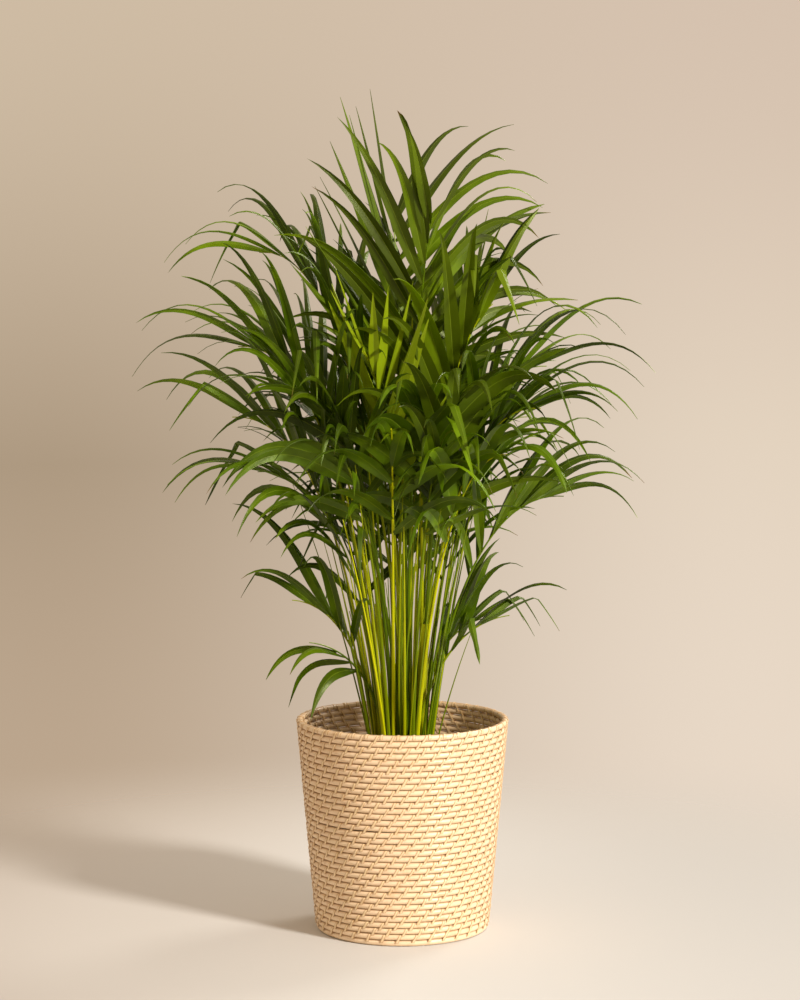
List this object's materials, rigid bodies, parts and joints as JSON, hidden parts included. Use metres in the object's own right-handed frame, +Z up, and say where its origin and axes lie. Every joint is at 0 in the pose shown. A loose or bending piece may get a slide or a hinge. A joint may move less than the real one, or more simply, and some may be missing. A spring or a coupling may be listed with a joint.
{
  "type": "potted palm",
  "caption": "Areca palm with arching feathery fronds, growing in a nursery pot inside a tapered coiled rattan basket planter.",
  "frame": {"origin": "centre of the basket's flat underside, on the surface that it stands on", "axes": "+Z up along the basket's axis and the stems, -Y towards the front, +X to the right"},
  "size_m": [0.7646, 0.6836, 1.2217],
  "materials": {
    "rattan": "satin",
    "saucer_plastic": "matte",
    "pot_plastic": "satin",
    "soil": "matte",
    "leaf_sheath": "satin",
    "leaf": "satin"
  },
  "bodies": {
    "root": {"basket_base": "rattan", "basket_wall": "rattan", "drip_saucer": "saucer_plastic", "frond_01": "leaf", "frond_02": "leaf", "frond_03": "leaf", "frond_04": "leaf", "frond_05": "leaf", "frond_06": "leaf", "frond_07": "leaf", "frond_08": "leaf", "frond_09": "leaf", "frond_10": "leaf", "frond_11": "leaf", "frond_12": "leaf", "frond_13": "leaf", "frond_14": "leaf", "frond_15": "leaf", "frond_16": "leaf", "frond_17": "leaf", "frond_18": "leaf", "frond_19": "leaf", "frond_20": "leaf", "frond_21": "leaf", "frond_22": "leaf", "frond_23": "leaf", "frond_24": "leaf", "frond_25": "leaf", "frond_26": "leaf", "frond_27": "leaf", "frond_28": "leaf", "frond_29": "leaf", "frond_30": "leaf", "frond_31": "leaf", "frond_32": "leaf", "frond_33": "leaf", "frond_34": "leaf", "frond_35": "leaf", "frond_36": "leaf", "nursery_pot": "pot_plastic", "potting_soil": "soil", "shoot_01": "leaf_sheath", "shoot_02": "leaf_sheath", "shoot_03": "leaf_sheath", "shoot_04": "leaf_sheath", "shoot_05": "leaf_sheath", "shoot_06": "leaf_sheath", "shoot_07": "leaf_sheath", "shoot_08": "leaf_sheath", "shoot_09": "leaf_sheath", "shoot_10": "leaf_sheath", "shoot_11": "leaf_sheath", "shoot_12": "leaf_sheath"}
  },
  "joints": []
}
